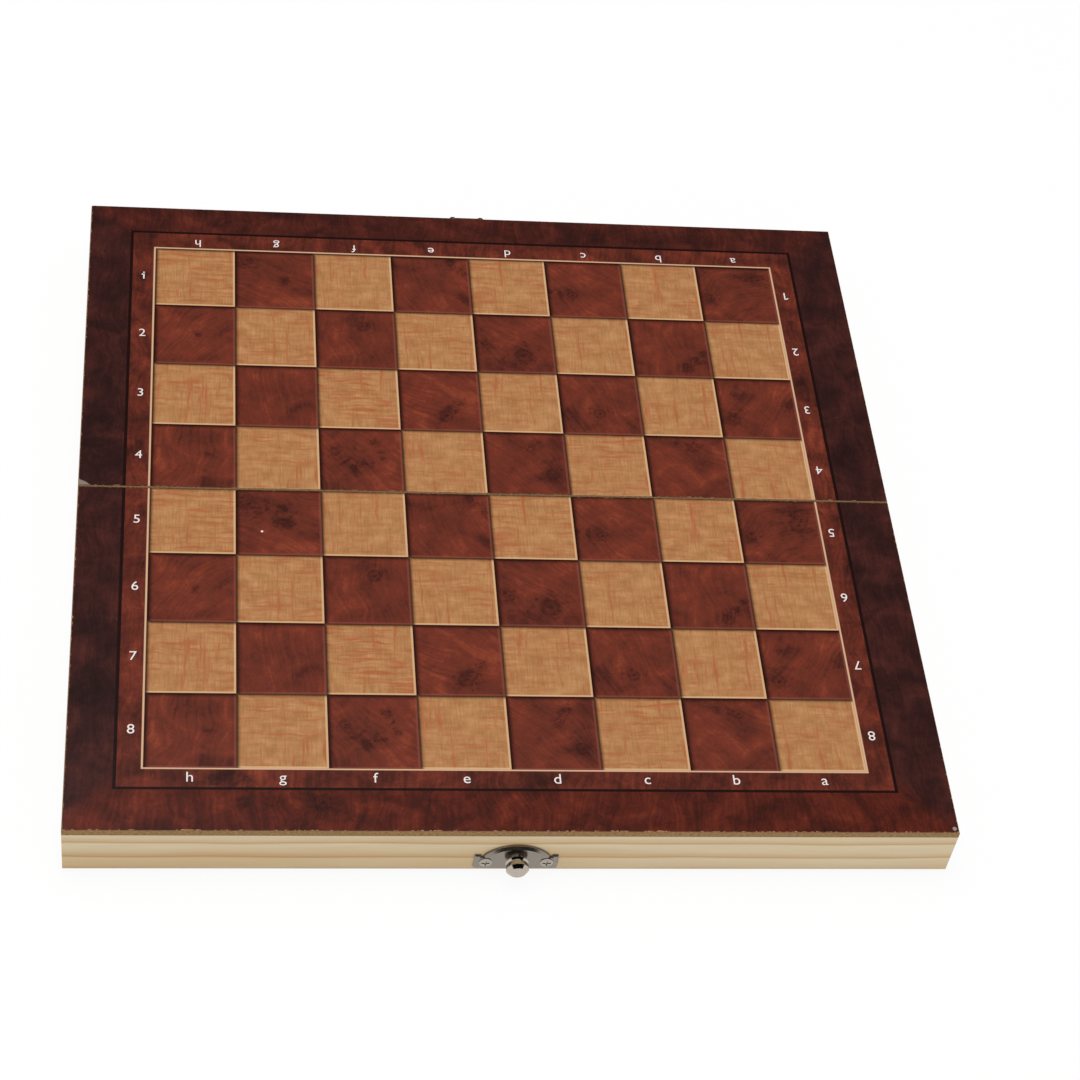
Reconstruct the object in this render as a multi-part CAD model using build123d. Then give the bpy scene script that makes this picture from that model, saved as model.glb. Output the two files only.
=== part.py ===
from build123d import *
import os

# Folding chess board case, lying open and flat with the playing side up.
# Millimetres. +X runs along the fold line, +Y from the front to the back, +Z up.
# The origin is under the middle of the fold line, on the surface the case lies on.

# Driving dimensions of the whole case
board_side = 290.0
overall_height = 23.0
rail_thickness = 9.0
panel_thickness = 2.4
sheet_thickness = 0.3
fold_gap = 0.3
closed_gap = 0.2

# Fold hinges
hinge_barrel_radius = 1.5
hinge_pin_radius = 0.7
hinge_running_gap = 0.05
hinge_offset_x = 85.0
leaf_length = 25.0
leaf_reach = 8.4
leaf_thickness = 0.8
knuckle_count = 5
knuckle_gap = 0.12
leaf_relief = 0.2
barrel_relief = 0.3
leaf_corner_radius = 0.8
mortise_gap = 0.1
hinge_screw_offset_x = 8.5
hinge_screw_offset_y = 5.4
hinge_screw_head_radius = 1.5
hinge_screw_radius = 0.75
hinge_screw_length = 6.0

# Half-moon plates of the catch and of the clasp
plate_width = 27.5
plate_bottom = 1.5
ear_top = 8.7
arch_half_chord = 10.7
arch_top = 14.2
plate_sheet = 0.8
plate_edge_bevel = 0.35
lip_height = 1.6
lip_width = 1.4
lip_bevel = 0.8
plate_corner_radius = 0.6
ear_notch_width = 1.0
ear_notch_depth = 0.7
plate_screw_offset_x = 10.0
plate_screw_height = 5.3
plate_screw_head_radius = 2.1
plate_screw_rim = 0.25
plate_screw_crown = 0.55
plate_screw_crown_radius = 1.4
plate_screw_radius = 1.0
plate_screw_length = 7.5

# Catch knob
knob_height = 7.0
knob_radius = 3.75
knob_neck_radius = 2.2
knob_neck_end = 2.1
knob_flare = 0.2
knob_lip = 0.2
knob_groove_radius = 3.15
knob_head_start = 3.7
knob_projection = 6.25
knob_nose_depth = 1.15
knob_face_radius = 2.6
knob_edge_round = 0.25
knob_spigot_radius = 1.5
knob_spigot_length = 3.0

# Clasp loop, folded up against its own plate
loop_axis_height = 3.4
loop_axis_out = 2.2
loop_thickness = 1.0
loop_bar_width = 2.7
loop_window_width = 8.2
loop_window_end = 14.75
loop_tip = 16.35
loop_dip = 0.5
loop_edge_bevel = 0.3
loop_barrel_radius = 1.3
loop_pin_radius = 0.6
loop_running_gap = 0.05
loop_knuckle_gap = 0.2
pin_head_radius = 0.95
pin_head_length = 0.5

# Small things
edge_ease = 0.4
panel_bevel = 0.3
sheet_inset = 0.3
fold_inset = 0.6
nail_inset = 1.6
nail_radius = 0.5
nail_head_radius = 0.75
nail_head_thickness = 0.4
nail_length = 13.0
recess_span = 1.3
recess_arm = 0.28
recess_depth = 0.25

# Worked out from the driving dimensions
half_side = board_side / 2
half_gap = fold_gap / 2
hinge_axis_z = hinge_barrel_radius
rail_bottom_z = hinge_axis_z + closed_gap / 2
panel_bottom_z = overall_height - sheet_thickness - panel_thickness
panel_top_z = overall_height - sheet_thickness
arch_rise = arch_top - ear_top
arch_radius = (arch_half_chord**2 + arch_rise**2) / (2 * arch_rise)
arch_centre = arch_top - arch_radius
loop_width = loop_window_width + 2 * loop_bar_width
loop_bar_middle = (loop_width - loop_bar_width) / 2
horn_radius = loop_bar_width / 2
knuckle_length = leaf_length / knuckle_count

# Working planes on the outer faces of the two end rails, at the rails' lower edge:
# local X runs along the rail, local Y is up and local Z points out of the case.
front_face = Plane(origin=(0, -half_side, rail_bottom_z), x_dir=(1, 0, 0), z_dir=(0, -1, 0))
back_face = Plane(origin=(0, half_side, rail_bottom_z), x_dir=(-1, 0, 0), z_dir=(0, 1, 0))
# The same on the lower face of a rail, for what is driven in from below.
underside = Plane(origin=(0, 0, rail_bottom_z), x_dir=(1, 0, 0), z_dir=(0, 0, -1))


def block(x_low, x_high, y_low, y_high, z_low, z_high):
    """A plain block between two corners."""
    size = (x_high - x_low, y_high - y_low, z_high - z_low)
    middle = ((x_low + x_high) / 2, (y_low + y_high) / 2, (z_low + z_high) / 2)
    return Pos(*middle) * Box(*size)


def rod_x(radius, x_low, x_high, y, z):
    """A round rod or bore along X."""
    middle = Pos((x_low + x_high) / 2, y, z)
    return middle * Rot(0, 90, 0) * Cylinder(radius, x_high - x_low)


def turned(points):
    """A turned piece about local Z, from (radius, height) points that start and end on the axis."""
    profile = make_face(Polyline(*[(radius, 0, height) for radius, height in points], close=True))
    return revolve(profile, Axis.Z)


def far_side(shape):
    """The same piece on the other side of the fold line."""
    return mirror(shape, Plane.XZ)


# Wooden trays

def rail(x_low, x_high, y_low, y_high):
    """A planed pine rail whose lower arrises are eased."""
    body = block(x_low, x_high, y_low, y_high, rail_bottom_z, panel_bottom_z)
    lower_edges = body.faces().sort_by(Axis.Z)[0].edges()
    return fillet(lower_edges, edge_ease)


def side_rail(side):
    """A short rail between the front rail and the fold rail; side is -1 left, +1 right."""
    ends = (side * half_side, side * (half_side - rail_thickness))
    y_low = -half_side + rail_thickness
    y_high = -half_gap - rail_thickness
    return rail(min(ends), max(ends), y_low, y_high)


def fold_rail():
    """The rail along the fold line, let in for the two hinges."""
    body = rail(-half_side, half_side, -half_gap - rail_thickness, -half_gap)
    for hinge_x in (-hinge_offset_x, hinge_offset_x):
        body -= hinge_mortise(hinge_x)
        body -= hinge_pilots(hinge_x)
    return body


def plate_pilots():
    """Pilot holes for the two screws of a half-moon plate, on a rail's outer face."""
    pilot = Pos(0, plate_screw_height, -plate_screw_length / 2)
    bore = pilot * Cylinder(plate_screw_radius, plate_screw_length)
    return [Pos(offset, 0, 0) * bore for offset in (-plate_screw_offset_x, plate_screw_offset_x)]


def front_rail():
    """The rail that carries the catch: screw pilots and a hole for the knob's riveted end."""
    body = rail(-half_side, half_side, -half_side, -half_side + rail_thickness)
    for bore in plate_pilots():
        body -= front_face * bore
    depth = knob_spigot_length
    body -= front_face * Pos(0, knob_height, -depth / 2) * Cylinder(knob_spigot_radius, depth)
    return body - nail_body()


def back_rail():
    """The rail that carries the clasp."""
    body = rail(-half_side, half_side, half_side - rail_thickness, half_side)
    for bore in plate_pilots():
        body -= back_face * bore
    return body


def panel():
    """The near half's fibreboard top, its upper arrises worn to a small bevel."""
    body = block(-half_side, half_side, -half_side, -half_gap, panel_bottom_z, panel_top_z)
    return chamfer(body.faces().sort_by(Axis.Z)[-1].edges(), panel_bevel)


def playing_sheet():
    """The printed and lacquered sheet glued on the panel, just short of the panel's edges."""
    x_reach = half_side - sheet_inset
    y_low = -half_side + sheet_inset
    return block(-x_reach, x_reach, y_low, -fold_inset, panel_top_z, overall_height)


def nail_body():
    """The one brad in the front right corner, its head level with the print."""
    head_low = -nail_head_thickness
    points = [(0, 0), (nail_head_radius, 0), (nail_head_radius, head_low), (nail_radius, head_low)]
    points += [(nail_radius, -nail_length), (0, -nail_length)]
    return Pos(half_side - nail_inset, -half_side + nail_inset, overall_height) * turned(points)


# Fold hinges, drawn for the near leaf at hinge_x

def knuckle_spans(hinge_x, first):
    """The lengths of barrel that belong to one leaf: every other knuckle from first on."""
    start = hinge_x - leaf_length / 2
    spans = []
    for index in range(first, knuckle_count, 2):
        low = start + index * knuckle_length + knuckle_gap / 2
        high = start + (index + 1) * knuckle_length - knuckle_gap / 2
        spans.append((low, high))
    return spans


def hinge_screw_places(hinge_x):
    """The two screws of the near leaf, as points on the underside plane."""
    return [Pos(hinge_x + offset, hinge_screw_offset_y, 0) for offset in
            (-hinge_screw_offset_x, hinge_screw_offset_x)]


def hinge_leaf(hinge_x, first):
    """A leaf let in flush with the rail's lower face, with its rolled knuckles."""
    half_length = leaf_length / 2
    clear_y = -hinge_barrel_radius - leaf_relief
    top_z = rail_bottom_z + leaf_thickness
    low_x, high_x = hinge_x - half_length, hinge_x + half_length
    leaf = block(low_x, high_x, -leaf_reach, clear_y, rail_bottom_z, top_z)
    corners = leaf.edges().filter_by(Axis.Z).group_by(Axis.Y)[0]
    leaf = fillet(corners, leaf_corner_radius)
    for low, high in knuckle_spans(hinge_x, first):
        leaf += block(low, high, clear_y - leaf_relief, 0, rail_bottom_z, top_z)
        leaf += rod_x(hinge_barrel_radius, low, high, 0, hinge_axis_z)
    bore_radius = hinge_pin_radius + hinge_running_gap
    leaf -= rod_x(bore_radius, low_x, high_x, 0, hinge_axis_z)
    for place in hinge_screw_places(hinge_x):
        leaf -= underside * place * countersunk_screw()
    return leaf


def hinge_mortise(hinge_x):
    """What is cut from a fold rail: a shallow bed for the leaf and a round relief for the barrel."""
    half_length = leaf_length / 2 + mortise_gap
    low_x, high_x = hinge_x - half_length, hinge_x + half_length
    floor_z = rail_bottom_z + leaf_thickness
    bed = block(low_x, high_x, -leaf_reach - mortise_gap, 0, 0, floor_z)
    relief_radius = hinge_barrel_radius + barrel_relief
    end_room = pin_head_length + 2 * mortise_gap
    relief = rod_x(relief_radius, low_x - end_room, high_x + end_room, 0, hinge_axis_z)
    return bed + relief


def countersunk_screw():
    """A small countersunk screw, flush at local Z = 0 and pointing down local Z."""
    cone_depth = hinge_screw_head_radius - hinge_screw_radius
    points = [(0, 0), (hinge_screw_head_radius, 0), (hinge_screw_radius, -cone_depth)]
    points += [(hinge_screw_radius, -hinge_screw_length), (0, -hinge_screw_length)]
    return turned(points)


def cross_recess(head_radius, face_height):
    """The cross cut in a screw's head, in proportion to the head."""
    depth = recess_depth * head_radius
    arm = Box(recess_span * head_radius, recess_arm * head_radius, depth)
    return Pos(0, 0, face_height - depth / 2) * (arm + Rot(0, 0, 90) * arm)


def hinge_pilots(hinge_x):
    """Pilot holes that the shanks of the near leaf's screws fill."""
    pilot = Pos(0, 0, -hinge_screw_length / 2) * Cylinder(hinge_screw_radius, hinge_screw_length)
    holes = [underside * place * pilot for place in hinge_screw_places(hinge_x)]
    return holes[0] + holes[1]


def hinge_screws():
    """The four screws of the two near leaves."""
    screw = countersunk_screw() - cross_recess(hinge_screw_head_radius, 0)
    places = hinge_screw_places(-hinge_offset_x) + hinge_screw_places(hinge_offset_x)
    return [underside * place * screw for place in places]


def hinge_pin(hinge_x):
    """The hinge's loose pin, its two ends peened over."""
    reach = leaf_length / 2 + knuckle_gap / 2
    pin = rod_x(hinge_pin_radius, hinge_x - reach, hinge_x + reach, 0, hinge_axis_z)
    for side in (-1, 1):
        ends = sorted([hinge_x + side * reach, hinge_x + side * (reach + pin_head_length)])
        pin += rod_x(pin_head_radius, ends[0], ends[1], 0, hinge_axis_z)
    return pin


# Half-moon hardware, drawn on the local planes of the end rails

def arch_cap(radius):
    """The part of a disc about the arch's centre that stands above the ears."""
    disc = Pos(0, arch_centre) * Circle(radius)
    window = Pos(0, (ear_top + arch_top) / 2) * Rectangle(plate_width, arch_rise)
    return disc & window


def half_moon_sheet():
    """The flat sheet of a plate: two ears, an arch over the middle and a nick where they meet."""
    ears_height = ear_top - plate_bottom
    ears = Pos(0, plate_bottom + ears_height / 2) * RectangleRounded(
        plate_width, ears_height, plate_corner_radius)
    outline = ears + arch_cap(arch_radius)
    for side in (-1, 1):
        notch = Pos(side * (arch_half_chord + ear_notch_width / 2), ear_top)
        outline -= notch * Rectangle(ear_notch_width, 2 * ear_notch_depth)
    sheet = extrude(outline, plate_sheet)
    return chamfer(sheet.faces().sort_by(Axis.Z)[-1].edges(), plate_edge_bevel)


def arch_lip():
    """The raised lip along the arch, its outer edge bevelled."""
    lip = extrude(arch_cap(arch_radius) - arch_cap(arch_radius - lip_width), lip_height)
    front_edges = lip.faces().sort_by(Axis.Z)[-1].edges()
    outer_edge = front_edges.filter_by(GeomType.CIRCLE).sort_by(SortBy.RADIUS)[-1]
    return chamfer(outer_edge, lip_bevel)


def half_moon_plate():
    """A stamped plate with its raised lip, countersunk for two screws."""
    plate = half_moon_sheet() + arch_lip()
    for side in (-1, 1):
        plate -= Pos(side * plate_screw_offset_x, plate_screw_height, plate_sheet) * plate_screw_form()
    return plate


def plate_screw_form():
    """A raised countersunk screw, its rim standing on local Z = 0, pointing down local Z."""
    rim = plate_screw_head_radius
    cone_depth = min(rim - plate_screw_radius, plate_sheet)
    neck = rim - cone_depth
    shank_end = plate_sheet - plate_screw_length
    points = [(0, plate_screw_crown), (plate_screw_crown_radius, plate_screw_crown)]
    points += [(rim, plate_screw_rim), (rim, 0), (neck, -cone_depth)]
    points += [(plate_screw_radius, -cone_depth), (plate_screw_radius, shank_end), (0, shank_end)]
    return turned(points)


def plate_screws(face):
    """The two screws of a half-moon plate, as one group."""
    screw = plate_screw_form() - cross_recess(plate_screw_head_radius, plate_screw_crown)
    seat = Pos(0, plate_screw_height, plate_sheet)
    offsets = (-plate_screw_offset_x, plate_screw_offset_x)
    return Compound(children=[face * Pos(offset, 0, 0) * seat * screw for offset in offsets])


def catch_plate():
    """The front plate, pierced for the knob's riveted end."""
    bore = Pos(0, knob_height, plate_sheet / 2) * Cylinder(knob_spigot_radius, plate_sheet)
    return front_face * (half_moon_plate() - bore)


def catch_knob():
    """A turned knob: a riveted spigot, a neck for the loop, a lip, a groove and a bevelled head."""
    lip_start = knob_neck_end + knob_flare
    lip_end = lip_start + knob_lip
    groove_slope = knob_radius - knob_groove_radius
    nose_start = knob_projection - knob_nose_depth
    profile = Polyline(
        (0, knob_projection), (0, -knob_spigot_length), (knob_spigot_radius, -knob_spigot_length),
        (knob_spigot_radius, plate_sheet), (knob_neck_radius, plate_sheet),
        (knob_neck_radius, knob_neck_end), (knob_radius, lip_start), (knob_radius, lip_end),
        (knob_groove_radius, lip_end + groove_slope), (knob_radius, knob_head_start),
        (knob_radius, nose_start), (knob_face_radius, knob_projection), close=True)
    section = make_face(profile)
    rim = section.vertices().sort_by_distance((knob_face_radius, knob_projection))[0]
    section = fillet(rim, knob_edge_round)
    knob = revolve(Rot(90, 0, 0) * section, Axis.Z)
    return front_face * Pos(0, knob_height, 0) * knob


def clasp_plate():
    """The back plate, with the wide middle knuckle that carries the loop's pin."""
    reach = loop_window_width / 2 - loop_knuckle_gap
    axis_y, axis_z = loop_axis_height, loop_axis_out
    barrel = rod_x(loop_barrel_radius, -reach, reach, axis_y, axis_z)
    web_low = axis_y - loop_barrel_radius
    web = block(-reach, reach, web_low, web_low + plate_sheet, plate_sheet / 2, axis_z)
    plate = half_moon_plate() + barrel + web
    plate -= rod_x(loop_pin_radius, -reach, reach, axis_y, axis_z)
    return back_face * plate


def clasp_pin():
    """The pin of the clasp, tight in the plate's knuckle and peened outside the loop's."""
    reach = loop_width / 2 + loop_knuckle_gap / 2
    pin = rod_x(loop_pin_radius, -reach, reach, loop_axis_height, loop_axis_out)
    for side in (-1, 1):
        ends = sorted([side * reach, side * (reach + pin_head_length)])
        pin += rod_x(pin_head_radius, ends[0], ends[1], loop_axis_height, loop_axis_out)
    return back_face * pin


def loop_outline():
    """The loop's flat shape above its pin: two bars, a round window end and two small horns."""
    horn_y = loop_tip - horn_radius
    bars_top = loop_tip - loop_dip - horn_radius
    bars = Pos(0, bars_top / 2) * Rectangle(loop_width, bars_top)
    bridge = Pos(0, horn_y - loop_dip) * Rectangle(2 * loop_bar_middle, loop_bar_width)
    outline = bars + bridge
    for side in (-1, 1):
        outline += Pos(side * loop_bar_middle, horn_y) * Circle(horn_radius)
        outline += Pos(side * loop_bar_middle, horn_y / 2) * Rectangle(loop_bar_width, horn_y)
    window_radius = loop_window_width / 2
    window_top = loop_window_end - window_radius
    outline -= Pos(0, window_top) * Circle(window_radius)
    outline -= Pos(0, window_top / 2) * Rectangle(loop_window_width, window_top)
    return outline


def clasp_loop():
    """The loop that swings over the knob, with a rolled knuckle at the foot of each bar."""
    ring = extrude(loop_outline(), loop_thickness / 2, both=True)
    rims = ring.faces().filter_by(Axis.Z).edges()
    ring = chamfer(rims.filter_by(lambda edge: edge.center().Y > loop_barrel_radius), loop_edge_bevel)
    ring = Pos(0, loop_axis_height, loop_axis_out) * ring
    for side in (-1, 1):
        ends = sorted([side * loop_window_width / 2, side * loop_width / 2])
        ring += rod_x(loop_barrel_radius, ends[0], ends[1], loop_axis_height, loop_axis_out)
    bore_radius = loop_pin_radius + loop_running_gap
    ring -= rod_x(bore_radius, -loop_width / 2, loop_width / 2, loop_axis_height, loop_axis_out)
    return back_face * ring


def build_nodes():
    """Every separate piece of the case, by name."""
    near_leaves = {side: hinge_leaf(x, 0) for side, x in hinge_sides()}
    far_leaves = {side: far_side(hinge_leaf(x, 1)) for side, x in hinge_sides()}
    nodes = {
        "near_panel": panel() - nail_body(),
        "near_playing_sheet": playing_sheet() - nail_body(),
        "near_front_rail": front_rail(),
        "near_fold_rail": fold_rail(),
        "near_left_rail": side_rail(-1),
        "near_right_rail": side_rail(1),
        "corner_nail": nail_body(),
        "catch_plate": catch_plate(),
        "catch_knob": catch_knob(),
        "catch_screws": plate_screws(front_face),
        "near_hinge_screws": Compound(children=hinge_screws()),
        "far_panel": far_side(panel()),
        "far_playing_sheet": far_side(playing_sheet()),
        "far_back_rail": back_rail(),
        "far_fold_rail": far_side(fold_rail()),
        "far_left_rail": far_side(side_rail(-1)),
        "far_right_rail": far_side(side_rail(1)),
        "clasp_plate": clasp_plate(),
        "clasp_screws": plate_screws(back_face),
        "clasp_pin": clasp_pin(),
        "clasp_loop": clasp_loop(),
        "far_hinge_screws": Compound(children=[far_side(screw) for screw in hinge_screws()]),
    }
    for side, x in hinge_sides():
        nodes[f"{side}_hinge_near_leaf"] = near_leaves[side]
        nodes[f"{side}_hinge_far_leaf"] = far_leaves[side]
        nodes[f"{side}_hinge_pin"] = hinge_pin(x)
    return nodes


def hinge_sides():
    """The two fold hinges and where they sit along X."""
    return [("left", -hinge_offset_x), ("right", hinge_offset_x)]


os.makedirs("parts", exist_ok=True)
for name, shape in build_nodes().items():
    export_step(shape, f"parts/{name}.step")
    print(name, round(sum(solid.volume for solid in shape.solids()), 2))
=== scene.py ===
# %% [markdown]
# # A folding chess board case, lying open
# The real object is two shallow pine trays hinged together. Each has a fibreboard top with a printed
# sheet glued on it, and the two sheets make the chess board. The trays, hinges and catch come from the
# measured model, which is loaded here as a fixed frame. What is left to make is the print, the letters
# and numbers, the small wear along the edges, and every finish.

# %% Load the measured model
import math
import bmesh
import bpy
from mathutils import Matrix, Vector


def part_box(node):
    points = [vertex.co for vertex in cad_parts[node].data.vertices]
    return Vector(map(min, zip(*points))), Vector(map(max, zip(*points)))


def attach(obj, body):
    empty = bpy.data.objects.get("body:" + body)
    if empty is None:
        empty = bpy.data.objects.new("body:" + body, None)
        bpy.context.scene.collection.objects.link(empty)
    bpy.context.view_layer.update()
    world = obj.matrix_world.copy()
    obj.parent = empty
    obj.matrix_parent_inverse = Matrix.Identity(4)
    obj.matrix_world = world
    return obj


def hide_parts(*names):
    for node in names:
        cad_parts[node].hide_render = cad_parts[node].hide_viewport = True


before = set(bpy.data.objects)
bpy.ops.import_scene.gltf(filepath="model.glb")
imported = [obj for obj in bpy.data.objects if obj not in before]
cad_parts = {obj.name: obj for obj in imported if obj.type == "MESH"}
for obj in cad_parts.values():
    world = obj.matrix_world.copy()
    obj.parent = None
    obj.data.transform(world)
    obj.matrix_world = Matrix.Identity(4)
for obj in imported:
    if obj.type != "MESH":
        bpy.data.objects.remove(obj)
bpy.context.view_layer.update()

# %% [markdown]
# ## Helpers that every step uses
# Colours are easiest to choose as the hex values that a colour picker shows, but a shader works with
# linear light. One function does that sum. A second one adds any kind of node, sets its options and
# fills its inputs with values or with the outputs of other nodes, so that a long tree reads as one line
# a node. The others put a new object in the scene and start a finish.

# %% Colour and node helpers
MM = 0.001


def hex_colour(text):
    """A hex colour as the linear red, green, blue and alpha that shaders expect."""
    parts = [int(text[index:index + 2], 16) / 255 for index in (1, 3, 5)]
    linear = [part / 12.92 if part <= 0.04045 else ((part + 0.055) / 1.055) ** 2.4 for part in parts]
    return (*linear, 1.0)


def add(tree, kind, inputs=None, out=0, stops=(), **options):
    """Add a node and give back one of its outputs, or the node itself when out is None.

    stops are the places and hex colours of a colour ramp. A Mix node keeps two colours in 6 and 7."""
    item = tree.nodes.new(kind)
    for option, value in options.items():
        setattr(item, option, value)
    if stops:
        elements = item.color_ramp.elements
        while len(elements) < len(stops):
            elements.new(1.0)
        for element, (place, text) in zip(elements, stops):
            element.position = place
            element.color = hex_colour(text)
    for key, value in (inputs or {}).items():
        if isinstance(value, bpy.types.NodeSocket):
            tree.links.new(value, item.inputs[key])
        else:
            item.inputs[key].default_value = value
    return item if out is None else item.outputs[out]


def linked(name, data):
    """A new object in the scene for this mesh, lamp or camera."""
    item = bpy.data.objects.new(name, data)
    bpy.context.scene.collection.objects.link(item)
    return item


def new_finish(name):
    """An empty material, its node tree and its surface shader."""
    finish = bpy.data.materials.new(name)
    finish.use_nodes = True
    tree = finish.node_tree
    tree.nodes.clear()
    surface = tree.nodes.new("ShaderNodeBsdfPrincipled")
    output = tree.nodes.new("ShaderNodeOutputMaterial")
    tree.links.new(surface.outputs[0], output.inputs[0])
    return finish, tree, surface


print("white is", hex_colour("#ffffff"), "and mid grey is", hex_colour("#808080"))

# %% [markdown]
# ## The camera first
# The photograph looks down on the board from the front left with a long lens. The camera's place was
# worked out from the corners of the 290 mm board, so the render lines up with the photograph. Its
# direction is set by the point it looks at and by how far it is rolled, as on a tripod head.

# %% Camera
camera_place = Vector((-0.1132, -0.6231, 0.7137))
camera_aim = Vector((0.0200, -0.0012, 0.0))
camera_roll = math.radians(10.14)
lens_mm = 87.84
sensor_mm = 36.0

camera_data = bpy.data.cameras.new("photo_camera")
camera_data.lens = lens_mm
camera_data.sensor_width = sensor_mm
camera_data.sensor_fit = "HORIZONTAL"
camera = linked("photo_camera", camera_data)
turn = (camera_aim - camera_place).to_track_quat("-Z", "Y").to_matrix()
turn = turn @ Matrix.Rotation(camera_roll, 3, "Z")
camera.matrix_world = Matrix.Translation(camera_place) @ turn.to_4x4()
bpy.context.scene.camera = camera
print("camera looks from", tuple(camera_place), "with a lens of", lens_mm, "mm")

# %% [markdown]
# ## Sizes of the print
# The print was measured on the photograph, turned flat. Its squares are a little deeper on the far half
# than on the near half, because the two sheets were printed and trimmed apart. Everything below is in
# millimetres, and places are measured from the middle of the board.

# %% Print layout in millimetres
square_width = 29.7
near_square_depth = 30.15
far_square_depth = 30.5
squares_left = -120.2
squares_right = squares_left + 8 * square_width
squares_front = -4 * near_square_depth
squares_back = 4 * far_square_depth
frame_line = 0.65
strip_width = 8.4
front_strip_width = 7.6
groove_width = 1.1
lit_edge = 0.7
shaded_edge = 2.4
white_speck = (-81.4, -19.6)
far_sheet_low, far_sheet_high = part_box("far_playing_sheet")
sheet_reach = far_sheet_high.x / MM
fold_inset = far_sheet_low.y / MM
print_top = far_sheet_high.z
print("squares run from", squares_left, squares_front, "to", squares_right, squares_back)

# %% [markdown]
# ## Knots of the burr
# The dark squares show burr wood, with small dark knots in clusters. A shader can draw soft rings round
# any point, but it has to know where the nearest knot is. So Geometry Nodes build each sheet as a grid,
# and every point of the grid stores the way to its nearest knot and that knot's size. The way changes
# evenly from one grid point to the next, so the rings stay round and sharp however close the camera
# comes. The near sheet repeats the knots of the far sheet's squares, as the printed one does, and each
# border has its own.

# %% Where the knots are, as (x, y, radius) in millimetres
square_knots = [
    (-86, 117, 3.0), (-71, 106, 1.6), (-8, 119, 1.8), (-3, 113, 1.4), (29, 105, 1.8), (38, 103, 2.2),
    (112, 115, 3.6), (92, 104, 2.2), (-104, 76, 1.2), (-43, 83, 3.0), (3, 75, 2.6), (17, 70, 4.2),
    (79, 66, 2.6), (86, 74, 1.4), (-14, 38, 3.2), (-9, 44, 1.8), (43, 41, 2.6), (93, 39, 3.0),
    (115, 47, 1.8), (95, 52, 1.2), (-55, 19, 2.2), (-48, 11, 2.0), (-41, 24, 1.6), (-38, 16, 1.2),
    (16, 21, 2.0), (23, 10, 2.8), (19, 26, 1.4), (77, 25, 2.2), (70, 27, 1.2), (-100, 16, 1.0),
]
far_border_knots = [
    (-138, 31, 6.0), (-139, 14, 6.5), (132, 24, 5.5), (52, 136, 3.0), (130, 20, 2.0), (-96, 128, 1.4),
    (-20, 129, 1.5), (121, 60, 1.5), (-125, 106, 1.6), (122, 92, 1.4),
]
near_own_knots = [
    (-86, -7, 3.2), (-74, -9, 2.0), (-76, -16, 1.8), (110, -12, 3.8), (-97, -125, 2.6), (-92, -122, 1.8),
    (-88, -134, 2.2), (-63, -134, 3.8), (-86, -126, 1.6), (64, -131, 2.0), (-138, -82, 3.2),
    (133, -84, 2.6), (-138, -91, 6.0),
]
far_knots = square_knots + far_border_knots
near_knots = [(x, y - squares_back, reach) for x, y, reach in square_knots] + near_own_knots
print(len(far_knots), "knots on the far sheet and", len(near_knots), "on the near one")


# %% Knots as a small cloud of points
def knot_cloud(name, knots):
    """A mesh of loose points, each with its knot's radius, for the sheet's tree to measure from."""
    mesh = bpy.data.meshes.new(name)
    mesh.from_pydata([(x * MM, y * MM, 0.0) for x, y, reach in knots], [], [])
    reach_layer = mesh.attributes.new("knot_reach", "FLOAT", "POINT")
    for item, (x, y, reach) in zip(reach_layer.data, knots):
        item.value = reach * MM
    return linked(name, mesh)


far_cloud = knot_cloud("far_knots", far_knots)
near_cloud = knot_cloud("near_knots", near_knots)
print("two clouds of", len(far_cloud.data.vertices), "and", len(near_cloud.data.vertices), "points")


# %% [markdown]
# ## A tree for the printed sheet
# The sheet is a rule: a thin slab of a given size, cut into a grid, that measures its knots. It could
# be drawn by hand, but as a tree the same rule makes both sheets, and its sizes stay open as named
# inputs.

# %% Geometry Nodes: the printed sheet
def socket_in(tree, name, kind):
    """Add a named input to a tree."""
    return tree.interface.new_socket(name=name, in_out="INPUT", socket_type=kind)


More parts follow.
